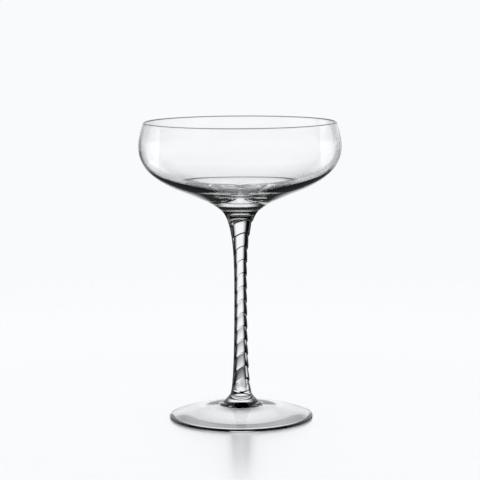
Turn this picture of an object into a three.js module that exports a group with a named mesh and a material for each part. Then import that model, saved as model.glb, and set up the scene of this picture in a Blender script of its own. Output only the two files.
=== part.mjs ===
// Coupe cocktail glass of clear glass: a thin blown bowl, a solid stem with overlapping scales and
// a spreading foot with a drawn-up collar.
// The three pieces are made apart and fused while hot, so they meet at two flat round seams.
// Millimetres, +Z up. The origin is the centre of the ring that the foot stands on.

import * as THREE from "three";
import { mergeVertices } from "three/addons/utils/BufferGeometryUtils.js";

// Heights, stacked from the table up
const footHeight = 13.2;
const stemLength = 96.8;
const bellyRise = 33;
const rimRise = 13;

// Bowl, outside
const rimRadius = 50.3;
const bellyRadius = 52.85;
const shoulderRise = 4.6;
const bellyPull = 12.1;
const flareRadius = 31.7;
const flareRise = 10.6;
const flareSlope = 2.5;
const flareUpPull = 3.9;
const flareDownPull = 3.5;

// Bowl, inside
const rimThickness = 1;
const wallThickness = 1.05;
const flareWall = 1.6;
const floorDrop = 0.9;
const floorPull = 1.5;
const floorFlat = 15;

// Stem
const seamRadius = 10.3;
const seamSlope = 1.25;
const seamUpPull = 4.2;
const seamDownPull = 4.9;
const waistRadius = 3.35;
const waistRise = 58;
const waistUpPull = 16;
const waistDownPull = 21;
const stemFootRadius = 5.4;
const stemFootSlope = 0.25;
const stemFootPull = 7;

// Overlapping scales on the stem, with their crowns to the right of the front
const scaleRows = 13;
const scaleDepth = 0.65;
const scaleLip = 0.5;
const scaleBulge = 2.2;
const firstCrownDrop = 4.6;
const lastCrownRise = 8;
const ledgeTilt = 3.6;
const scaleReach = 95;
const scaleFade = 27;
const scaleTurn = 32;

// Foot
const footRadius = 37.7;
const edgeThickness = 1.5;
const ringWidth = 1.3;
const hollowRise = 5.7;
const hollowFlat = 8.2;
const hollowSlope = 0.25;
const hollowPull = 5.7;
const collarRadius = 11.2;
const collarRise = 6.9;
const collarTopPull = 1.9;
const collarTopSlope = 0.3;
const collarFootPull = 2.9;
const collarFootSlope = 0.8;
const footTopPull = 13.4;
const footTopDrop = 1.05;

// How finely the round surfaces are divided
const turnSteps = 60;
const stemTurnSteps = 40;
const longCurveSteps = 8;
const shortCurveSteps = 5;
const scaleSteps = 4;
const seamSteps = 4;

// Places worked out from the sizes
const footSeam = footHeight;
const bowlSeam = footSeam + stemLength;
const belly = bowlSeam + bellyRise;
const rim = belly + rimRise;
const waist = footSeam + waistRise;
const firstCrown = bowlSeam - firstCrownDrop;
const lastCrown = footSeam + lastCrownRise;
const scalePitch = (firstCrown - lastCrown) / (scaleRows - 1);

function point(radius, height) {
  return new THREE.Vector2(radius, height);
}

// Points along a curve, without its first one, which the piece before it already ends on
function along(curve, steps) {
  return curve.getPoints(steps).slice(1);
}

function turned(profile, steps) {
  const geometry = new THREE.LatheGeometry(profile, steps);
  geometry.rotateX(Math.PI / 2);
  geometry.deleteAttribute("normal");
  geometry.deleteAttribute("uv");
  return mergeVertices(geometry, 1e-4);
}

function clearGlass(colour) {
  return new THREE.MeshStandardMaterial({
    color: colour,
    roughness: 0.02,
    metalness: 0,
    transparent: true,
    opacity: 0.35,
  });
}

// Bowl: from the seam up the flare and the belly, over the rounded rim and down the inside
function bowlProfile() {
  const flare = bowlSeam + flareRise;
  const floor = flare - floorDrop;
  const innerBelly = bellyRadius - wallThickness;
  const rimRound = rimThickness / 2;
  const slant = Math.hypot(1, flareSlope);
  const innerFlare = flareRadius - flareWall / slant;
  const innerLevel = flare + (flareWall * flareSlope) / slant;
  const outerFlare = new THREE.CubicBezierCurve(
    point(seamRadius, bowlSeam),
    point(seamRadius + seamSlope * seamUpPull, bowlSeam + seamUpPull),
    point(flareRadius - flareSlope * flareDownPull, flare - flareDownPull),
    point(flareRadius, flare),
  );
  const outerBelly = new THREE.CubicBezierCurve(
    point(flareRadius, flare),
    point(flareRadius + flareSlope * flareUpPull, flare + flareUpPull),
    point(bellyRadius, belly - bellyPull),
    point(bellyRadius, belly),
  );
  const outerShoulder = new THREE.QuadraticBezierCurve(
    point(bellyRadius, belly),
    point(bellyRadius, belly + shoulderRise),
    point(rimRadius, rim - rimRound),
  );
  const rimArc = new THREE.EllipseCurve(rimRadius - rimRound, rim - rimRound, rimRound, rimRound, 0, Math.PI);
  const innerShoulder = new THREE.QuadraticBezierCurve(
    point(rimRadius - rimThickness, rim - rimRound),
    point(innerBelly, belly + shoulderRise),
    point(innerBelly, belly),
  );
  const innerWall = new THREE.CubicBezierCurve(
    point(innerBelly, belly),
    point(innerBelly, belly - bellyPull),
    point(innerFlare + flareSlope * flareUpPull, innerLevel + flareUpPull),
    point(innerFlare, innerLevel),
  );
  const innerFloor = new THREE.CubicBezierCurve(
    point(innerFlare, innerLevel),
    point(innerFlare - flareSlope * floorPull, innerLevel - floorPull),
    point(floorFlat, floor),
    point(0, floor),
  );
  return [
    point(0, bowlSeam),
    point(seamRadius, bowlSeam),
    ...along(outerFlare, longCurveSteps),
    ...along(outerBelly, longCurveSteps),
    ...along(outerShoulder, shortCurveSteps),
    ...along(rimArc, shortCurveSteps),
    ...along(innerShoulder, shortCurveSteps),
    ...along(innerWall, longCurveSteps),
    ...along(innerFloor, longCurveSteps),
  ];
}

// Stem before the scales are pressed in: a long waist that spreads to the foot and flares to the bowl
const stemLower = new THREE.CubicBezierCurve(
  point(stemFootRadius, footSeam),
  point(stemFootRadius - stemFootSlope * stemFootPull, footSeam + stemFootPull),
  point(waistRadius, waist - waistDownPull),
  point(waistRadius, waist),
);
const stemUpper = new THREE.CubicBezierCurve(
  point(waistRadius, waist),
  point(waistRadius, waist + waistUpPull),
  point(seamRadius - seamSlope * seamDownPull, bowlSeam - seamDownPull),
  point(seamRadius, bowlSeam),
);

// Radius of the stem's outline at a height, found by halving
function stemRadius(height) {
  const curve = height < waist ? stemLower : stemUpper;
  let low = 0;
  let high = 1;
  while (high - low > 1e-6) {
    const middle = (low + high) / 2;
    if (curve.getPoint(middle).y < height) {
      low = middle;
    } else {
      high = middle;
    }
  }
  return curve.getPoint(high).x;
}

// Heights of the stem's rings at the scales' crowns, from the foot seam up, close together at every ledge
function stemRings() {
  const rings = [];
  const lowest = lastCrown - scaleLip;
  for (let step = 0; step < seamSteps; step += 1) {
    rings.push(footSeam + ((lowest - footSeam) * step) / seamSteps);
  }
  for (let row = 0; row < scaleRows; row += 1) {
    const crown = lastCrown + row * scalePitch;
    const next = row < scaleRows - 1 ? crown + scalePitch - scaleLip : bowlSeam;
    rings.push(crown - scaleLip, crown);
    for (let step = 0; step < scaleSteps; step += 1) {
      rings.push(crown + scaleLip + ((next - crown - scaleLip) * step) / scaleSteps);
    }
  }
  rings.push(bowlSeam);
  return rings;
}

// A place on the stem: its ring sags away from the crowns, and each scale is set in under its ledge
// and swells back to the full outline one pitch further down
function stemPlace(ring, turn) {
  const reach = THREE.MathUtils.degToRad(scaleReach + scaleFade);
  const fade = THREE.MathUtils.degToRad(scaleFade);
  const off = THREE.MathUtils.euclideanModulo(turn - THREE.MathUtils.degToRad(scaleTurn) + Math.PI, 2 * Math.PI);
  const away = Math.abs(off - Math.PI);
  const fadeIn = THREE.MathUtils.clamp((bowlSeam - ring) / firstCrownDrop, 0, 1);
  const fadeOut = THREE.MathUtils.clamp((ring - footSeam) / lastCrownRise, 0, 1);
  const sag = ledgeTilt * (1 - Math.cos(Math.min(away, reach)));
  const height = ring - sag * fadeIn * fadeOut;
  const depth = scaleDepth * THREE.MathUtils.smoothstep(reach - away, 0, fade);
  let inset = 0;
  for (let row = scaleRows - 1; row >= 0; row -= 1) {
    const crown = lastCrown + row * scalePitch;
    const below = THREE.MathUtils.smoothstep(crown - ring, -scaleLip, scaleLip);
    const swell = THREE.MathUtils.clamp(1 - (crown - ring) / scalePitch, 0, 1) ** scaleBulge;
    inset = inset * (1 - below) + depth * swell * below;
  }
  const radius = stemRadius(height) - inset;
  return new THREE.Vector3(radius * Math.sin(turn), -radius * Math.cos(turn), height);
}

function stemGeometry() {
  const rings = stemRings();
  const places = [];
  const corners = [];
  for (const ring of rings) {
    for (let step = 0; step < stemTurnSteps; step += 1) {
      places.push(stemPlace(ring, (2 * Math.PI * step) / stemTurnSteps));
    }
  }
  const bottom = places.push(new THREE.Vector3(0, 0, footSeam)) - 1;
  const top = places.push(new THREE.Vector3(0, 0, bowlSeam)) - 1;
  const last = (rings.length - 1) * stemTurnSteps;
  for (let step = 0; step < stemTurnSteps; step += 1) {
    const next = (step + 1) % stemTurnSteps;
    corners.push(bottom, next, step, top, last + step, last + next);
    for (let row = 0; row < last; row += stemTurnSteps) {
      const above = row + stemTurnSteps;
      corners.push(row + step, row + next, above + next, row + step, above + next, above + step);
    }
  }
  const geometry = new THREE.BufferGeometry().setFromPoints(places);
  geometry.setIndex(corners);
  return geometry;
}

// Foot: from the hollow underneath over the standing ring and the edge, up the top and the collar
function footProfile() {
  const edgeRound = edgeThickness / 2;
  const ringOuter = footRadius - edgeRound;
  const ringInner = ringOuter - ringWidth;
  const hollow = new THREE.CubicBezierCurve(
    point(0, hollowRise),
    point(hollowFlat, hollowRise),
    point(ringInner - hollowPull, hollowSlope * hollowPull),
    point(ringInner, 0),
  );
  const edgeArc = new THREE.EllipseCurve(ringOuter, edgeRound, edgeRound, edgeRound, -Math.PI / 2, Math.PI / 2);
  const top = new THREE.QuadraticBezierCurve(
    point(ringOuter, edgeThickness),
    point(collarRadius + footTopPull, collarRise - footTopDrop),
    point(collarRadius, collarRise),
  );
  const collar = new THREE.CubicBezierCurve(
    point(collarRadius, collarRise),
    point(collarRadius - collarFootPull, collarRise + collarFootSlope * collarFootPull),
    point(stemFootRadius + collarTopSlope * collarTopPull, footSeam - collarTopPull),
    point(stemFootRadius, footSeam),
  );
  return [
    point(0, hollowRise),
    ...along(hollow, longCurveSteps),
    point(ringOuter, 0),
    ...along(edgeArc, shortCurveSteps),
    ...along(top, longCurveSteps),
    ...along(collar, shortCurveSteps),
    point(0, footSeam),
  ];
}

function piece(name, geometry, colour) {
  const mesh = new THREE.Mesh(geometry, clearGlass(colour));
  mesh.name = name;
  return mesh;
}

const glass = new THREE.Group();
glass.add(piece("bowl", turned(bowlProfile(), turnSteps), 0xf6f9fa));
glass.add(piece("stem", stemGeometry(), 0xf2f6f7));
glass.add(piece("foot", turned(footProfile(), turnSteps), 0xf4f8f9));

export default glass;
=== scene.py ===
"""Clear coupe cocktail glass: blown bowl, stem with overlapping scales and spreading foot, on a white stage."""

import math
from collections import namedtuple

import bpy
import numpy as np
from bpy.props import FloatProperty, FloatVectorProperty, IntProperty, PointerProperty
from mathutils import Matrix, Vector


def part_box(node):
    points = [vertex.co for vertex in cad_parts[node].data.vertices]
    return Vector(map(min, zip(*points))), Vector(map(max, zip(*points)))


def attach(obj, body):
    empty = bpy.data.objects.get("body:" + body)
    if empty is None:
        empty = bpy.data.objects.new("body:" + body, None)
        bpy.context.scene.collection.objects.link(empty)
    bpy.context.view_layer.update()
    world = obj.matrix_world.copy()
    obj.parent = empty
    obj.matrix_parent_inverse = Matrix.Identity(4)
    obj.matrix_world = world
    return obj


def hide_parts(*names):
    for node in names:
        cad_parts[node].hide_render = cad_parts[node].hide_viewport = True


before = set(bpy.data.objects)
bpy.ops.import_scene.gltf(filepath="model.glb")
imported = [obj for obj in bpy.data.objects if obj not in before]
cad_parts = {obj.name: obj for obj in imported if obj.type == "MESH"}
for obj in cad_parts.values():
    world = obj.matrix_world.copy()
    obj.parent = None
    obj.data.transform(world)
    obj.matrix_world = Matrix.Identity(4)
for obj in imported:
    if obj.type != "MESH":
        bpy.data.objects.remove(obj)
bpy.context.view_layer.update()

bl_info = {
    "name": "Coupe glass",
    "version": (1, 0, 0),
    "blender": (4, 5, 0),
    "location": "3D View > Sidebar > Coupe",
    "description": "Models a clear coupe glass piece by piece and sets it on a white stage",
    "category": "Add Mesh",
}

BOWL_LOW, BOWL_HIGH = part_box("bowl")
FOOT_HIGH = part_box("foot")[1]

MM = 0.001
MERGE_WITHIN = 0.001 * MM  # points closer than this are one
TOUCH_WITHIN = 0.01 * MM  # a point this near to a height or to the axis is on it
LEVEL_NORMAL = 0.999  # upright part of a level face's normal
SMOOTH_ANGLE = math.radians(50)
SENSOR_WIDTH = 36  # millimetres
FULL_SPECULAR = 0.5  # specular level at which a surface reflects as its index of refraction says

FOOT_END_RINGS, BOWL_END_RINGS, SCALE_RINGS = 14, 16, 9  # rings of the stem below, above and on the scales
LIP_CLEARANCE = 1.6  # lips between a ledge and the nearest ring of a scale
LIP_RINGS = np.array((-1, -0.7, -0.4, -0.15, 0.15, 0.4, 0.7, 1))  # places of the rings on a ledge, in lips

HAZE_START, HAZE_FULL = 0.45, 0.75  # noise values between which the haze sets in
ONE_SOLID = 3.5  # a ray leaves one solid or wall after two passes through its surfaces, and two walls after four
UNSCATTERED = 0.5  # bounces off a dull surface, below which a ray came straight from the glass or the camera


def length(name, description, default):
    """A size in metres that shows in the scene's own length unit."""
    return FloatProperty(
        name=name, description=description, default=default, min=0, precision=5, subtype="DISTANCE", unit="LENGTH"
    )


def amount(name, description, default):
    """A plain number."""
    return FloatProperty(name=name, description=description, default=default, precision=4)


def angle(name, description, degrees):
    """An angle, given in degrees."""
    return FloatProperty(
        name=name, description=description, default=math.radians(degrees), subtype="ANGLE", unit="ROTATION"
    )


def tint(name, description, default):
    """A colour without alpha."""
    return FloatVectorProperty(
        name=name, description=description, default=default, min=0, max=1, size=3, subtype="COLOR"
    )


class CoupeBowlSizes(bpy.types.PropertyGroup):
    """Outline of the bowl, from its seam with the stem to the rim and down the inside"""

    seam_height: length("Seam height", "Height of the seam with the stem", BOWL_LOW.z)
    seam_radius: length("Seam radius", "Radius of the seam with the stem", 10.3 * MM)
    seam_slope: amount("Seam slope", "Spread per rise of the outline at the seam", 1.25)
    seam_pull: length("Seam pull", "How far the outline keeps the seam's slope", 4.2 * MM)
    flare_radius: length("Flare radius", "Radius where the flare meets the belly", 31.7 * MM)
    flare_rise: length("Flare rise", "Rise from the seam to the top of the flare", 10.6 * MM)
    flare_slope: amount("Flare slope", "Spread per rise at the top of the flare", 2.5)
    flare_down_pull: length("Flare pull down", "How far the flare keeps that slope below", 3.5 * MM)
    flare_up_pull: length("Flare pull up", "How far the belly keeps that slope above", 3.9 * MM)
    belly_radius: length("Belly radius", "Largest radius of the bowl", BOWL_HIGH.x)
    belly_rise: length("Belly rise", "Rise from the seam to the widest place", 33 * MM)
    belly_pull: length("Belly pull", "How far the wall stays upright below it", 12.1 * MM)
    shoulder_rise: length("Shoulder rise", "How far the wall stays upright above it", 4.6 * MM)
    rim_radius: length("Rim radius", "Outside radius of the rim", 50.3 * MM)
    rim_rise: length("Rim rise", "Rise from the widest place to the rim", 13 * MM)
    rim_thickness: length("Rim thickness", "Thickness of the rounded rim", 1 * MM)
    wall_thickness: length("Wall thickness", "Thickness of the wall at the belly", 1.05 * MM)
    flare_wall: length("Flare wall", "Thickness of the wall at the top of the flare", 1.6 * MM)
    floor_drop: length("Floor drop", "Depth of the inside floor below the flare's top", 0.9 * MM)
    floor_pull: length("Floor pull", "How far the inside keeps the flare's slope towards the floor", 1.5 * MM)
    floor_flat: length("Floor flat", "How far out the inside floor stays level", 15 * MM)


class CoupeStemSizes(bpy.types.PropertyGroup):
    """Outline of the stem and its overlapping scales"""

    low_height: length("Foot seam height", "Height of the seam with the foot", FOOT_HIGH.z)
    high_height: length("Bowl seam height", "Height of the seam with the bowl", BOWL_LOW.z)
    low_radius: length("Foot seam radius", "Radius of the seam with the foot", 5.4 * MM)
    low_slope: amount("Foot seam slope", "Spread per drop of the outline at the foot", 0.25)
    low_pull: length("Foot seam pull", "How far the outline keeps that slope", 7 * MM)
    waist_radius: length("Waist radius", "Smallest radius", 3.35 * MM)
    waist_rise: length("Waist rise", "Rise from the foot seam to the waist", 58 * MM)
    waist_down_pull: length("Waist pull down", "How far the stem stays slim below the waist", 21 * MM)
    waist_up_pull: length("Waist pull up", "How far the stem stays slim above the waist", 16 * MM)
    high_radius: length("Bowl seam radius", "Radius of the seam with the bowl", 10.3 * MM)
    high_slope: amount("Bowl seam slope", "Spread per rise of the outline at the bowl", 1.25)
    high_pull: length("Bowl seam pull", "How far the outline keeps that slope", 4.9 * MM)
    scale_rows: IntProperty(name="Scale rows", description="Rows of overlapping scales", default=13, min=2)
    scale_depth: length("Scale depth", "How far a scale is set in under its ledge", 0.65 * MM)
    scale_lip: length("Scale lip", "Half the height over which a ledge is rounded", 0.5 * MM)
    scale_bulge: amount("Scale bulge", "How quickly a scale swells out again below its ledge", 2.2)
    first_crown_drop: length("First crown", "Drop from the bowl seam to the first ledge", 4.6 * MM)
    last_crown_rise: length("Last crown", "Rise from the foot seam to the last ledge", 8 * MM)
    ledge_tilt: length("Ledge tilt", "Drop of a ledge a quarter turn from its crown", 3.6 * MM)
    scale_reach: angle("Scale reach", "Angle from the crowns to which the scales are at full depth", 95)
    scale_fade: angle("Scale fade", "Angle over which the scales then die out", 27)
    scale_turn: angle("Scale turn", "Angle of the scales' crowns from the front, to the right", 32)


class CoupeFootSizes(bpy.types.PropertyGroup):
    """Outline of the foot, from the hollow underneath to the collar"""

    height: length("Height", "Height of the seam with the stem", FOOT_HIGH.z)
    radius: length("Radius", "Outside radius", 37.7 * MM)
    edge_thickness: length("Edge thickness", "Thickness of the rounded edge", 1.5 * MM)
    ring_width: length("Ring width", "Width of the flat ring that the glass stands on", 1.3 * MM)
    hollow_rise: length("Hollow rise", "Height of the hollow under the foot", 5.7 * MM)
    hollow_flat: length("Hollow flat", "How far out the hollow stays level", 8.2 * MM)
    hollow_slope: amount("Hollow slope", "Rise of the hollow per length inside the ring", 0.25)
    hollow_pull: length("Hollow pull", "How far in the hollow keeps that slope", 5.7 * MM)
    collar_radius: length("Collar radius", "Radius where the collar meets the foot's top", 11.2 * MM)
    collar_rise: length("Collar rise", "Height of that place", 6.9 * MM)
    collar_foot_pull: length("Collar pull below", "How far the collar keeps its slope below", 2.9 * MM)
    collar_foot_slope: amount("Collar slope below", "Rise per narrowing at the foot's top", 0.8)
    collar_top_pull: length("Collar pull above", "How far the collar keeps its slope above", 1.9 * MM)
    collar_top_slope: amount("Collar slope above", "Spread per drop at the seam", 0.3)
    seam_radius: length("Seam radius", "Radius of the seam with the stem", 5.4 * MM)
    top_pull: length("Top pull", "How far out the foot's top keeps its fall", 13.4 * MM)
    top_drop: length("Top drop", "How far the foot's top falls there", 1.05 * MM)


class CoupeGlassLook(bpy.types.PropertyGroup):
    """Finish of the glass, and the painted shade at its edges"""

    turn_steps: IntProperty(name="Steps around", description="Divisions of every turned piece", default=160, min=24)
    clear: tint("Clear", "Tint of the glass", (0.997, 0.998, 0.998))
    deep: tint("Deep", "Tint where the glass is a little denser", (0.984, 0.989, 0.991))
    bend: amount("Refraction", "Index of refraction", 1.52)
    ripple: length("Ripple", "Height of the fire-polished waves", 0.002 * MM)
    haze: amount("Haze", "Roughness where the polish is least clear", 0.002)
    bowl_mirror: amount("Bowl mirror", "Strength of the reflections on the bowl", 0.2)
    stem_mirror: amount("Stem mirror", "Strength of the reflections on the stem", 0.15)
    foot_mirror: amount("Foot mirror", "Strength of the reflections on the foot", 0.3)
    # Painted shade: a near-black colour is mixed into the glass where it is seen edge on and just below the rim, in
    # place of the dark surround those edges would show.
    edge: tint("Edge", "Tint of the glass where it is seen edge on", (0.012, 0.012, 0.013))
    bowl_painted_shade_start: amount("Bowl edge start", "Turn from the viewer where the bowl's edge starts, 0 to 1", 0.9)
    bowl_painted_shade_end: amount("Bowl edge end", "Turn from the viewer where it is full", 1.0)
    stem_painted_shade_start: amount("Stem edge start", "Turn from the viewer where the stem's edge starts", 0.27)
    stem_painted_shade_end: amount("Stem edge end", "Turn from the viewer where it is full", 0.44)
    foot_painted_shade_start: amount("Foot edge start", "Turn from the viewer where the foot's edge starts", 0.9)
    foot_painted_shade_end: amount("Foot edge end", "Turn from the viewer where it is full", 1.0)
    rim_painted_shade: amount("Rim edge", "How much of the edge tint the rounded rim takes", 1.0)
    rim_drop: length("Rim drop", "Height of the rim that takes it", 0.8 * MM)


class CoupeStageLook(bpy.types.PropertyGroup):
    """Camera, floor and light"""

    camera_distance: length("Camera distance", "Distance of the camera in front of the glass", 1012.4 * MM)
    camera_height: length("Camera height", "Height of the camera above the floor", 223.4 * MM)
    camera_side: length("Camera side", "How far left of the axis the camera stands", 0.2 * MM)
    aim_height: length("Aim height", "Height on the axis that the camera points at", 94.08 * MM)
    camera_roll: angle("Camera roll", "Turn of the camera about its own line of sight, clockwise", 0.3)
    lens: amount("Lens", "Focal length in millimetres on a 36 mm sensor", 146.4)
    white: tint("White", "Colour of the surround", (0.947, 0.956, 0.973))
    floor: tint("Floor", "Colour of the table top", (1.0, 1.0, 1.0))
    floor_gloss: amount("Floor gloss", "Roughness of the table top", 0.28)
    floor_bend: amount("Floor refraction", "Index of refraction of the table top's sheen", 2.2)
    floor_lift: amount("Floor lift", "Light that evens the table top with the surround", 0.025)
    sheen: amount("Sheen", "How much of the table top mirrors like polished metal", 0.55)
    sheen_near: length("Sheen near", "Radius to which the table top is fully glossy", 0.075)
    sheen_far: length("Sheen far", "Radius from which it is dull", 0.15)
    floor_near: length("Floor near", "Radius to which the table top shows fully", 0.18)
    floor_far: length("Floor far", "Radius at which it has faded into the surround", 0.6)
    back_half: angle("Back half width", "Half width of the white card straight behind, without its soft edge", 11)
    back_fade: angle("Back fade", "Width of that soft edge", 19)
    back_bearing: angle("Back bearing", "Bearing of the card's middle, to the right", 4)
    back_bottom: angle("Back bottom", "Elevation of the bottom of the card, without its soft edge", -11.2)
    back_bottom_fade: angle("Back bottom fade", "Height of that soft edge", 10)
    back_top: angle("Back top", "Elevation of the top of the card, without its soft edge", 7)
    back_top_fade: angle("Back top fade", "Height of that soft edge", 12)
    wrap_half: angle("Wrap half width", "Half width of the pale room that shows at the bowl's sides", 155)
    wrap_level: amount("Wrap level", "Brightness of that room", 0.85)
    side_half: angle("Side half width", "Half width of the white cards for the other sides", 8)
    side_fade: angle("Side fade", "Width of their soft edges", 12)
    strip_half: angle("Strip half width", "Half width of the two strip lights", 12)
    strip_bearing: angle("Strip bearing", "Bearing of the strip lights from straight behind", 58)
    mirror_level: amount("Mirror level", "Brightness of the room that the glass mirrors between the cards", 0.08)


def curved(start, pull_out, pull_in, end, steps):
    """Points along a cubic curve between (radius, height) points, without the first."""
    corners = np.array((start, pull_out, pull_in, end), float)
    places = np.linspace(0, 1, steps + 1)[1:, None]
    rest = 1 - places
    points = (
        corners[0] * rest**3
        + corners[1] * 3 * rest**2 * places
        + corners[2] * 3 * rest * places**2
        + corners[3] * places**3
    )
    return [tuple(point) for point in points]


def bent(start, corner, end, steps):
    """Points along a curve that leaves start and reaches end in the direction of one corner, without the first."""
    start, corner, end = (np.array(point, float) for point in (start, corner, end))
    return curved(start, start + (corner - start) * 2 / 3, end + (corner - end) * 2 / 3, end, steps)


def rounded(centre, radius, first, last, steps):
    """Points along an arc about a (radius, height) centre, without the first."""
    angles = np.linspace(first, last, steps + 1)[1:]
    return [(centre[0] + radius * math.cos(a), centre[1] + radius * math.sin(a)) for a in angles]


def turned(name, outline, steps):
    """Draws an outline by extruding one vertex from point to point and spins it about the upright axis."""
    bpy.ops.object.select_all(action="DESELECT")
    bpy.ops.mesh.primitive_plane_add(size=1 * MM)
    piece = bpy.context.object
    piece.name = name
    piece.data.name = name
    bpy.ops.object.mode_set(mode="EDIT")
    bpy.ops.mesh.select_all(action="SELECT")
    bpy.ops.mesh.merge(type="CENTER")
    bpy.ops.transform.translate(value=(outline[0][0], 0, outline[0][1]))
    for (radius, height), (next_radius, next_height) in zip(outline, outline[1:]):
        step = (next_radius - radius, 0, next_height - height)
        bpy.ops.mesh.extrude_vertices_move(TRANSFORM_OT_translate={"value": step})
    bpy.ops.mesh.select_all(action="SELECT")
    bpy.ops.mesh.spin(steps=steps, angle=2 * math.pi, center=(0, 0, 0), axis=(0, 0, 1))
    bpy.ops.mesh.select_all(action="SELECT")
    bpy.ops.mesh.remove_doubles(threshold=MERGE_WITHIN)
    bpy.ops.mesh.normals_make_consistent(inside=False)
    bpy.ops.object.mode_set(mode="OBJECT")
    return piece


def finish_piece(piece, node, glass, seams):
    """Smooths a piece, gives its seam faces the fused material and hands it to the frame."""
    bpy.ops.object.shade_smooth_by_angle(angle=SMOOTH_ANGLE)
    piece.data.materials.append(glass)
    piece.data.materials.append(fused_seam())
    for face in piece.data.polygons:
        level = abs(face.normal.z) > LEVEL_NORMAL
        if level and any(abs(face.center.z - height) < TOUCH_WITHIN for height in seams):
            face.material_index = 1
    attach(piece, "root")
    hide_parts(node)


def calculate(tree, operation, first, second=None):
    """Adds a math node fed by sockets or numbers and returns its result."""
    node = tree.nodes.new("ShaderNodeMath")
    node.operation = operation
    for socket, value in zip(node.inputs, (first, second)):
        if isinstance(value, bpy.types.NodeSocket):
            tree.links.new(value, socket)
        elif value is not None:
            socket.default_value = value
    return node.outputs[0]


def eased(tree, value, start, end):
    """Adds a smooth step from 0 at start to 1 at end, given as sockets or numbers, and returns its result."""
    node = tree.nodes.new("ShaderNodeMapRange")
    node.interpolation_type = "SMOOTHSTEP"
    for name, given in (("Value", value), ("From Min", start), ("From Max", end)):
        if isinstance(given, bpy.types.NodeSocket):
            tree.links.new(given, node.inputs[name])
        else:
            node.inputs[name].default_value = given
    return node.outputs["Result"]


def fire_polish_group():
    """Node group with the slow waves and faint haze that fire polishing leaves on glass."""
    name = "Fire polish"
    if name in bpy.data.node_groups:
        return bpy.data.node_groups[name]
    group = bpy.data.node_groups.new(name, "ShaderNodeTree")
    group.interface.new_socket("Place", in_out="INPUT", socket_type="NodeSocketVector")
    for given in ("Wave scale", "Haze scale"):
        group.interface.new_socket(given, in_out="INPUT", socket_type="NodeSocketFloat")
    for made in ("Wave", "Haze"):
        group.interface.new_socket(made, in_out="OUTPUT", socket_type="NodeSocketFloat")
    nodes, links = group.nodes, group.links
    source = nodes.new("NodeGroupInput")
    result = nodes.new("NodeGroupOutput")
    wave = nodes.new("ShaderNodeTexNoise")
    wave.inputs["Detail"].default_value = 1
    wave.inputs["Roughness"].default_value = 0.4
    haze = nodes.new("ShaderNodeTexNoise")
    haze.inputs["Detail"].default_value = 3
    links.new(source.outputs["Place"], wave.inputs["Vector"])
    links.new(source.outputs["Place"], haze.inputs["Vector"])
    links.new(source.outputs["Wave scale"], wave.inputs["Scale"])
    links.new(source.outputs["Haze scale"], haze.inputs["Scale"])
    links.new(wave.outputs["Fac"], result.inputs["Wave"])
    links.new(eased(group, haze.outputs["Fac"], HAZE_START, HAZE_FULL), result.inputs["Haze"])
    return group


def clear_glass(name, look, wave_scale, haze_scale, mirror, painted_shade_start, painted_shade_end, rim_top=None):
    """Clear glass with fire-polished waves, a breath of haze, a denser tint in places and painted shade: a
    near-black tint in its colour where it is seen edge on.

    A rounded rim is seen edge on all the way round, so the glass just below rim_top takes that painted shade too.
    """
    material = bpy.data.materials.new(name)
    material.use_nodes = True
    tree = material.node_tree
    nodes, links = tree.nodes, tree.links
    shader = nodes["Principled BSDF"]
    shader.inputs["Transmission Weight"].default_value = 1
    shader.inputs["IOR"].default_value = look.bend
    shader.inputs["Specular Tint"].default_value = (mirror, mirror, mirror, 1)
    place = nodes.new("ShaderNodeTexCoord")
    polish = nodes.new("ShaderNodeGroup")
    polish.node_tree = fire_polish_group()
    polish.inputs["Wave scale"].default_value = wave_scale
    polish.inputs["Haze scale"].default_value = haze_scale
    links.new(place.outputs["Object"], polish.inputs["Place"])

    # Painted shade: the more the glass is seen edge on, the more of the near-black edge tint goes into its colour.
    edge = eased(tree, nodes.new("ShaderNodeLayerWeight").outputs["Facing"], painted_shade_start, painted_shade_end)
    # Painted shade on the rim: a band of glass below the rim's top takes the near-black tint by height.
    if rim_top is not None:
        split = nodes.new("ShaderNodeSeparateXYZ")
        links.new(place.outputs["Object"], split.inputs[0])
        rim = eased(tree, split.outputs["Z"], rim_top - look.rim_drop, rim_top)
        edge = calculate(tree, "MAXIMUM", edge, calculate(tree, "MULTIPLY", rim, look.rim_painted_shade))
    colour = nodes.new("ShaderNodeMix")
    colour.data_type = "RGBA"
    colour.inputs["A"].default_value = (*look.clear, 1)
    colour.inputs["B"].default_value = (*look.deep, 1)
    links.new(polish.outputs["Haze"], colour.inputs["Factor"])
    # Mixes the painted shade into the glass's own colour.
    painted_shade_mix = nodes.new("ShaderNodeMix")
    painted_shade_mix.data_type = "RGBA"
    painted_shade_mix.inputs["B"].default_value = (*look.edge, 1)
    links.new(edge, painted_shade_mix.inputs["Factor"])
    links.new(colour.outputs["Result"], painted_shade_mix.inputs["A"])
    links.new(painted_shade_mix.outputs["Result"], shader.inputs["Base Color"])

    links.new(calculate(tree, "MULTIPLY", polish.outputs["Haze"], look.haze), shader.inputs["Roughness"])
    bump = nodes.new("ShaderNodeBump")
    bump.inputs["Distance"].default_value = look.ripple
    links.new(polish.outputs["Wave"], bump.inputs["Height"])
    links.new(bump.outputs["Normal"], shader.inputs["Normal"])
    return material


def fused_seam():
    """Where two pieces are fused there is no surface left, so light passes straight on."""
    name = "fused_seam"
    if name in bpy.data.materials:
        return bpy.data.materials[name]
    material = bpy.data.materials.new(name)
    material.use_nodes = True
    material.node_tree.nodes["Principled BSDF"].inputs["Alpha"].default_value = 0
    return material


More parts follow.
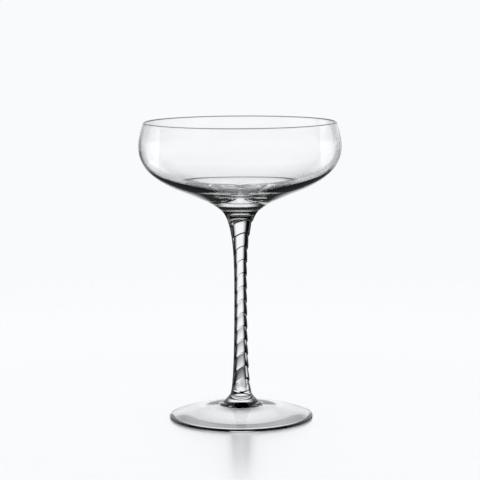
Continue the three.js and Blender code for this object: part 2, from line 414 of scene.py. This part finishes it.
def bowl_outline(size):
    """From the middle of the seam up the outside, over the rim and down to the middle of the floor."""
    seam = size.seam_height
    flare = seam + size.flare_rise
    belly = seam + size.belly_rise
    rim = belly + size.rim_rise - size.rim_thickness / 2
    floor = flare - size.floor_drop
    inner_belly = size.belly_radius - size.wall_thickness
    rim_middle = size.rim_radius - size.rim_thickness / 2
    outline = [(0, seam), (size.seam_radius, seam)]
    outline += curved(
        (size.seam_radius, seam),
        (size.seam_radius + size.seam_slope * size.seam_pull, seam + size.seam_pull),
        (size.flare_radius - size.flare_slope * size.flare_down_pull, flare - size.flare_down_pull),
        (size.flare_radius, flare),
        steps=28,
    )
    outline += curved(
        (size.flare_radius, flare),
        (size.flare_radius + size.flare_slope * size.flare_up_pull, flare + size.flare_up_pull),
        (size.belly_radius, belly - size.belly_pull),
        (size.belly_radius, belly),
        steps=32,
    )
    outline += bent(
        (size.belly_radius, belly),
        (size.belly_radius, belly + size.shoulder_rise),
        (size.rim_radius, rim),
        steps=16,
    )
    outline += rounded((rim_middle, rim), size.rim_thickness / 2, 0, math.pi, steps=12)
    outline += bent(
        (size.rim_radius - size.rim_thickness, rim),
        (inner_belly, belly + size.shoulder_rise),
        (inner_belly, belly),
        steps=16,
    )
    slant = math.hypot(1, size.flare_slope)
    inner_flare = size.flare_radius - size.flare_wall / slant
    inner_level = flare + size.flare_wall * size.flare_slope / slant
    outline += curved(
        (inner_belly, belly),
        (inner_belly, belly - size.belly_pull),
        (inner_flare + size.flare_slope * size.flare_up_pull, inner_level + size.flare_up_pull),
        (inner_flare, inner_level),
        steps=32,
    )
    outline += curved(
        (inner_flare, inner_level),
        (inner_flare - size.flare_slope * size.floor_pull, inner_level - size.floor_pull),
        (size.floor_flat, floor),
        (0, floor),
        steps=32,
    )
    return outline


def stem_curve(size):
    """Dense outline of the plain stem, from the foot seam to the bowl seam, as an array of (radius, height)."""
    low, high = size.low_height, size.high_height
    waist = low + size.waist_rise
    points = [(size.low_radius, low)]
    points += curved(
        (size.low_radius, low),
        (size.low_radius - size.low_slope * size.low_pull, low + size.low_pull),
        (size.waist_radius, waist - size.waist_down_pull),
        (size.waist_radius, waist),
        steps=200,
    )
    points += curved(
        (size.waist_radius, waist),
        (size.waist_radius, waist + size.waist_up_pull),
        (size.high_radius - size.high_slope * size.high_pull, high - size.high_pull),
        (size.high_radius, high),
        steps=400,
    )
    return np.array(points)


def crown_heights(size):
    """Heights of the ledges' crowns, from the top down."""
    first = size.high_height - size.first_crown_drop
    last = size.low_height + size.last_crown_rise
    return np.linspace(first, last, size.scale_rows)


def stem_outline(size):
    """Rings of the plain stem, close together where a ledge will be."""
    curve = stem_curve(size)
    crowns = crown_heights(size)
    clearance = LIP_CLEARANCE * size.scale_lip
    heights = set(np.linspace(size.low_height, crowns[-1], FOOT_END_RINGS)[:-1])
    heights |= set(np.linspace(crowns[0], size.high_height, BOWL_END_RINGS)[1:])
    for upper, lower in zip(crowns, crowns[1:]):
        heights |= set(np.linspace(lower + clearance, upper - clearance, SCALE_RINGS))
    for crown in crowns:
        heights |= set(crown + size.scale_lip * LIP_RINGS)
    rings = [(float(np.interp(z, curve[:, 1], curve[:, 0])), float(z)) for z in sorted(heights)]
    return [(0, size.low_height), *rings, (0, size.high_height)]


def smooth(part):
    """Eases values from 0 to 1 at both ends and holds them there outside."""
    part = np.clip(part, 0, 1)
    return part * part * (3 - 2 * part)


def press_scales(piece, size):
    """Tilts the stem's rings and sets each scale in under its ledge."""
    count = len(piece.data.vertices)
    places = np.empty(count * 3)
    piece.data.vertices.foreach_get("co", places)
    places = places.reshape(-1, 3)
    ring = places[:, 2].copy()
    side = np.hypot(places[:, 0], places[:, 1])
    turn = np.arctan2(places[:, 0], -places[:, 1])
    off_axis = side > TOUCH_WITHIN
    curve = stem_curve(size)
    crowns = crown_heights(size)
    pitch = crowns[0] - crowns[1]

    away = np.abs((turn - size.scale_turn + math.pi) % (2 * math.pi) - math.pi)
    reach = size.scale_reach + size.scale_fade
    sag = size.ledge_tilt * (1 - np.cos(np.minimum(away, reach)))
    fade_in = np.clip((size.high_height - ring) / size.first_crown_drop, 0, 1)
    fade_out = np.clip((ring - size.low_height) / size.last_crown_rise, 0, 1)
    height = np.where(off_axis, ring - sag * fade_in * fade_out, ring)

    depth = size.scale_depth * smooth((reach - away) / size.scale_fade)
    inset = np.zeros(count)
    for crown in crowns:
        below = smooth((crown + size.scale_lip - ring) / (2 * size.scale_lip))
        swell = np.clip(1 - (crown - ring) / pitch, 0, 1) ** size.scale_bulge
        inset = inset * (1 - below) + depth * swell * below
    radius = np.interp(height, curve[:, 1], curve[:, 0]) - inset

    seam = (ring < size.low_height + MERGE_WITHIN) | (ring > size.high_height - MERGE_WITHIN)
    radius = np.where(seam, side, radius)
    places[:, 0] = np.where(off_axis, radius * np.sin(turn), 0)
    places[:, 1] = np.where(off_axis, -radius * np.cos(turn), 0)
    places[:, 2] = height
    piece.data.vertices.foreach_set("co", places.ravel())
    piece.data.update()


def foot_outline(size):
    """From the middle of the hollow over the standing ring and the edge, up to the middle of the seam."""
    edge = size.edge_thickness / 2
    ring_outer = size.radius - edge
    ring_inner = ring_outer - size.ring_width
    collar_in = size.collar_radius - size.collar_foot_pull
    outline = [(0, size.hollow_rise)]
    outline += curved(
        (0, size.hollow_rise),
        (size.hollow_flat, size.hollow_rise),
        (ring_inner - size.hollow_pull, size.hollow_slope * size.hollow_pull),
        (ring_inner, 0),
        steps=32,
    )
    outline += [(ring_outer, 0)]
    outline += rounded((ring_outer, edge), edge, -math.pi / 2, math.pi / 2, steps=14)
    outline += bent(
        (ring_outer, size.edge_thickness),
        (size.collar_radius + size.top_pull, size.collar_rise - size.top_drop),
        (size.collar_radius, size.collar_rise),
        steps=28,
    )
    outline += curved(
        (size.collar_radius, size.collar_rise),
        (collar_in, size.collar_rise + size.collar_foot_slope * size.collar_foot_pull),
        (size.seam_radius + size.collar_top_slope * size.collar_top_pull, size.height - size.collar_top_pull),
        (size.seam_radius, size.height),
        steps=28,
    )
    outline += [(0, size.height)]
    return outline


class CoupeAddBowl(bpy.types.Operator):
    """Model the blown bowl"""

    bl_idname = "coupe.add_bowl"
    bl_label = "Bowl"

    def execute(self, context):
        size, look = context.scene.coupe_bowl, context.scene.coupe_glass
        piece = turned("coupe_bowl", bowl_outline(size), look.turn_steps)
        glass = clear_glass(
            "bowl_glass",
            look,
            wave_scale=90,
            haze_scale=40,
            mirror=look.bowl_mirror,
            painted_shade_start=look.bowl_painted_shade_start,
            painted_shade_end=look.bowl_painted_shade_end,
            rim_top=size.seam_height + size.belly_rise + size.rim_rise,
        )
        finish_piece(piece, "bowl", glass, [size.seam_height])
        return {"FINISHED"}


class CoupeAddStem(bpy.types.Operator):
    """Model the solid stem and press its scales"""

    bl_idname = "coupe.add_stem"
    bl_label = "Stem"

    def execute(self, context):
        size, look = context.scene.coupe_stem, context.scene.coupe_glass
        piece = turned("coupe_stem", stem_outline(size), look.turn_steps)
        press_scales(piece, size)
        glass = clear_glass(
            "stem_glass",
            look,
            wave_scale=220,
            haze_scale=90,
            mirror=look.stem_mirror,
            painted_shade_start=look.stem_painted_shade_start,
            painted_shade_end=look.stem_painted_shade_end,
        )
        finish_piece(piece, "stem", glass, [size.low_height, size.high_height])
        return {"FINISHED"}


class CoupeAddFoot(bpy.types.Operator):
    """Model the spreading foot"""

    bl_idname = "coupe.add_foot"
    bl_label = "Foot"

    def execute(self, context):
        size, look = context.scene.coupe_foot, context.scene.coupe_glass
        piece = turned("coupe_foot", foot_outline(size), look.turn_steps)
        glass = clear_glass(
            "foot_glass",
            look,
            wave_scale=110,
            haze_scale=50,
            mirror=look.foot_mirror,
            painted_shade_start=look.foot_painted_shade_start,
            painted_shade_end=look.foot_painted_shade_end,
        )
        finish_piece(piece, "foot", glass, [size.height])
        return {"FINISHED"}


def add_camera(look):
    """Camera at the photograph's place, aimed at the axis."""
    data = bpy.data.cameras.new("photo_camera")
    data.sensor_width = SENSOR_WIDTH
    data.lens = look.lens
    camera = bpy.data.objects.new("photo_camera", data)
    bpy.context.scene.collection.objects.link(camera)
    down = math.atan2(look.camera_height - look.aim_height, look.camera_distance)
    camera.location = (-look.camera_side, -look.camera_distance, look.camera_height)
    pitch = Matrix.Rotation(math.pi / 2 - down, 3, "X")
    camera.rotation_euler = (pitch @ Matrix.Rotation(-look.camera_roll, 3, "Z")).to_euler()
    bpy.context.scene.camera = camera


def add_floor(look):
    """White table top with a soft sheen that fades into the surround away from the glass."""
    bpy.ops.object.select_all(action="DESELECT")
    bpy.ops.mesh.primitive_circle_add(vertices=96, radius=look.floor_far, fill_type="NGON")
    floor = bpy.context.object
    floor.name = "floor"
    floor.visible_transmission = False
    floor.visible_glossy = False
    material = bpy.data.materials.new("table_white")
    material.use_nodes = True
    tree = material.node_tree
    shader = tree.nodes["Principled BSDF"]
    shader.inputs["Base Color"].default_value = (*look.floor, 1)
    shader.inputs["Roughness"].default_value = look.floor_gloss
    shader.inputs["IOR"].default_value = look.floor_bend
    shader.inputs["Emission Color"].default_value = (*look.white, 1)
    shader.inputs["Emission Strength"].default_value = look.floor_lift
    place = tree.nodes.new("ShaderNodeTexCoord")
    reach = tree.nodes.new("ShaderNodeVectorMath")
    reach.operation = "LENGTH"
    tree.links.new(place.outputs["Object"], reach.inputs[0])
    dull = eased(tree, reach.outputs["Value"], look.sheen_near, look.sheen_far)
    shine = calculate(tree, "SUBTRACT", 1, dull)
    tree.links.new(calculate(tree, "MULTIPLY", shine, FULL_SPECULAR), shader.inputs["Specular IOR Level"])
    tree.links.new(calculate(tree, "MULTIPLY", shine, look.sheen), shader.inputs["Metallic"])
    faded = eased(tree, reach.outputs["Value"], look.floor_near, look.floor_far)
    tree.links.new(calculate(tree, "SUBTRACT", 1, faded), shader.inputs["Alpha"])
    floor.data.materials.append(material)


Card = namedtuple("Card", "level bearing half_width side_fade bottom bottom_fade top top_fade")
CARD_ANGLES = ("Half width", "Side fade", "Bottom", "Bottom fade", "Top", "Top fade")


def light_card_group():
    """Node group that is 1 in the directions of a card with soft edges and 0 elsewhere."""
    group = bpy.data.node_groups.new("Light card", "ShaderNodeTree")
    group.interface.new_socket("Direction", in_out="INPUT", socket_type="NodeSocketVector")
    group.interface.new_socket("Middle", in_out="INPUT", socket_type="NodeSocketVector")
    for name in (*CARD_ANGLES, "Level"):
        group.interface.new_socket(name, in_out="INPUT", socket_type="NodeSocketFloat")
    group.interface.new_socket("Light", in_out="OUTPUT", socket_type="NodeSocketFloat")
    source = group.nodes.new("NodeGroupInput").outputs
    result = group.nodes.new("NodeGroupOutput").inputs

    split = group.nodes.new("ShaderNodeSeparateXYZ")
    group.links.new(source["Direction"], split.inputs[0])
    rise = calculate(group, "ARCSINE", split.outputs["Z"])
    level = group.nodes.new("ShaderNodeVectorMath")
    level.operation = "MULTIPLY"
    level.inputs[1].default_value = (1, 1, 0)
    group.links.new(source["Direction"], level.inputs[0])
    unit = group.nodes.new("ShaderNodeVectorMath")
    unit.operation = "NORMALIZE"
    group.links.new(level.outputs["Vector"], unit.inputs[0])
    along = group.nodes.new("ShaderNodeVectorMath")
    along.operation = "DOT_PRODUCT"
    group.links.new(unit.outputs["Vector"], along.inputs[0])
    group.links.new(source["Middle"], along.inputs[1])
    turn = calculate(group, "ARCCOSINE", calculate(group, "MINIMUM", along.outputs["Value"], 1))

    side_end = calculate(group, "ADD", source["Half width"], source["Side fade"])
    side = calculate(group, "SUBTRACT", 1, eased(group, turn, source["Half width"], side_end))
    low_start = calculate(group, "SUBTRACT", source["Bottom"], source["Bottom fade"])
    low = eased(group, rise, low_start, source["Bottom"])
    high_end = calculate(group, "ADD", source["Top"], source["Top fade"])
    high = calculate(group, "SUBTRACT", 1, eased(group, rise, source["Top"], high_end))
    card = calculate(group, "MULTIPLY", calculate(group, "MULTIPLY", low, high), side)
    card = calculate(group, "MULTIPLY", card, source["Level"])
    group.links.new(card, result["Light"])
    return group


def light_surround(look):
    """White surround for the eye and the floor. The glass sees and mirrors white cards in a dark room instead."""
    world = bpy.data.worlds.new("studio_surround")
    world.use_nodes = True
    bpy.context.scene.world = world
    tree = world.node_tree
    direction = tree.nodes.new("ShaderNodeTexCoord").outputs["Generated"]
    card_group = light_card_group()

    def brightest(*cards):
        light = None
        for card in cards:
            node = tree.nodes.new("ShaderNodeGroup")
            node.node_tree = card_group
            tree.links.new(direction, node.inputs["Direction"])
            turn = math.radians(card.bearing)
            node.inputs["Middle"].default_value = (math.sin(turn), math.cos(turn), 0)
            node.inputs["Level"].default_value = card.level
            for name, size in zip(CARD_ANGLES, card[2:]):
                node.inputs[name].default_value = math.radians(size)
            here = node.outputs["Light"]
            light = here if light is None else calculate(tree, "MAXIMUM", light, here)
        return light

    def degrees(*names):
        return [math.degrees(getattr(look, name)) for name in names]

    def both(card):
        return card, card._replace(bearing=-card.bearing)

    side = degrees("side_half", "side_fade")
    strip = degrees("strip_bearing", "strip_half")
    back = degrees(
        "back_bearing", "back_half", "back_fade", "back_bottom", "back_bottom_fade", "back_top", "back_top_fade"
    )
    under = Card(1, bearing=0, half_width=15, side_fade=15, bottom=-70, bottom_fade=10, top=-26, top_fade=8)
    seen = brightest(
        Card(1, *back),
        Card(1, -90, *side, bottom=-16, bottom_fade=4, top=2, top_fade=4),
        Card(1, -45, *side, bottom=-45, bottom_fade=5, top=-18, top_fade=3),
        Card(1, 135, *side, bottom=-35, bottom_fade=5, top=-9, top_fade=3),
        *(under._replace(bearing=bearing) for bearing in (0, -90, 135)),
    )
    room = Card(
        look.wrap_level, 180, *degrees("wrap_half"), side_fade=6, bottom=-5, bottom_fade=3, top=25, top_fade=8
    )
    strip_behind = Card(1, *strip, side_fade=3, bottom=-5, bottom_fade=3, top=25, top_fade=8)
    streak = Card(1.13, bearing=5.4, half_width=1.3, side_fade=0.4, bottom=-12, bottom_fade=4, top=12, top_fade=4)
    seen_through_walls = brightest(room, *both(strip_behind), *both(streak))
    mirrored = brightest(
        Card(1, bearing=0, half_width=6, side_fade=10, bottom=-16, bottom_fade=14, top=0, top_fade=2),
        Card(1, bearing=0, half_width=180, side_fade=3, bottom=0, bottom_fade=2, top=95, top_fade=3),
        *both(Card(1, *strip, side_fade=3, bottom=-35, bottom_fade=10, top=45, top_fade=10)),
        Card(0.5, bearing=180, half_width=164, side_fade=4, bottom=-4.5, bottom_fade=3, top=30, top_fade=10),
    )

    ray = tree.nodes.new("ShaderNodeLightPath")
    two_walls = calculate(tree, "GREATER_THAN", ray.outputs["Transmission Depth"], ONE_SOLID)
    seen = calculate(tree, "MAXIMUM", seen, calculate(tree, "MULTIPLY", seen_through_walls, two_walls))
    mirror_ray = calculate(tree, "MULTIPLY", ray.outputs["Is Glossy Ray"], ray.outputs["Is Reflection Ray"])
    unseen = calculate(tree, "MULTIPLY", calculate(tree, "SUBTRACT", 1, seen), ray.outputs["Is Transmission Ray"])
    mirrored = calculate(tree, "MAXIMUM", mirrored, look.mirror_level)
    unmirrored = calculate(tree, "MULTIPLY", calculate(tree, "SUBTRACT", 1, mirrored), mirror_ray)
    dark = calculate(tree, "ADD", unseen, unmirrored)
    direct = calculate(tree, "LESS_THAN", ray.outputs["Diffuse Depth"], UNSCATTERED)
    strength = calculate(tree, "SUBTRACT", 1, calculate(tree, "MULTIPLY", dark, direct))
    shader = tree.nodes["Background"]
    shader.inputs["Color"].default_value = (*look.white, 1)
    tree.links.new(strength, shader.inputs["Strength"])


class CoupeSetStage(bpy.types.Operator):
    """Set the camera, floor and light"""

    bl_idname = "coupe.set_stage"
    bl_label = "Stage"

    def execute(self, context):
        look = context.scene.coupe_stage
        context.scene.view_settings.view_transform = "Standard"
        add_camera(look)
        add_floor(look)
        light_surround(look)
        return {"FINISHED"}


class CoupePanel(bpy.types.Panel):
    """Coupe glass sizes and steps"""

    bl_idname = "VIEW3D_PT_coupe"
    bl_label = "Coupe glass"
    bl_space_type = "VIEW_3D"
    bl_region_type = "UI"
    bl_category = "Coupe"

    def draw(self, context):
        scene = context.scene
        steps = (
            (CoupeAddBowl, scene.coupe_bowl),
            (CoupeAddStem, scene.coupe_stem),
            (CoupeAddFoot, scene.coupe_foot),
            (CoupeSetStage, scene.coupe_stage),
        )
        for operator, sizes in steps:
            box = self.layout.box()
            box.operator(operator.bl_idname)
            for name in sizes.__annotations__:
                box.prop(sizes, name)
        finish = self.layout.box()
        for name in scene.coupe_glass.__annotations__:
            finish.prop(scene.coupe_glass, name)


GROUPS = {
    "coupe_bowl": CoupeBowlSizes,
    "coupe_stem": CoupeStemSizes,
    "coupe_foot": CoupeFootSizes,
    "coupe_glass": CoupeGlassLook,
    "coupe_stage": CoupeStageLook,
}
CLASSES = (*GROUPS.values(), CoupeAddBowl, CoupeAddStem, CoupeAddFoot, CoupeSetStage, CoupePanel)


def register():
    for cls in CLASSES:
        bpy.utils.register_class(cls)
    for name, group in GROUPS.items():
        setattr(bpy.types.Scene, name, PointerProperty(type=group))


def unregister():
    for name in GROUPS:
        delattr(bpy.types.Scene, name)
    for cls in reversed(CLASSES):
        bpy.utils.unregister_class(cls)


def main():
    register()
    bpy.ops.coupe.add_bowl()
    bpy.ops.coupe.add_stem()
    bpy.ops.coupe.add_foot()
    bpy.ops.coupe.set_stage()


if __name__ == "__main__":
    main()
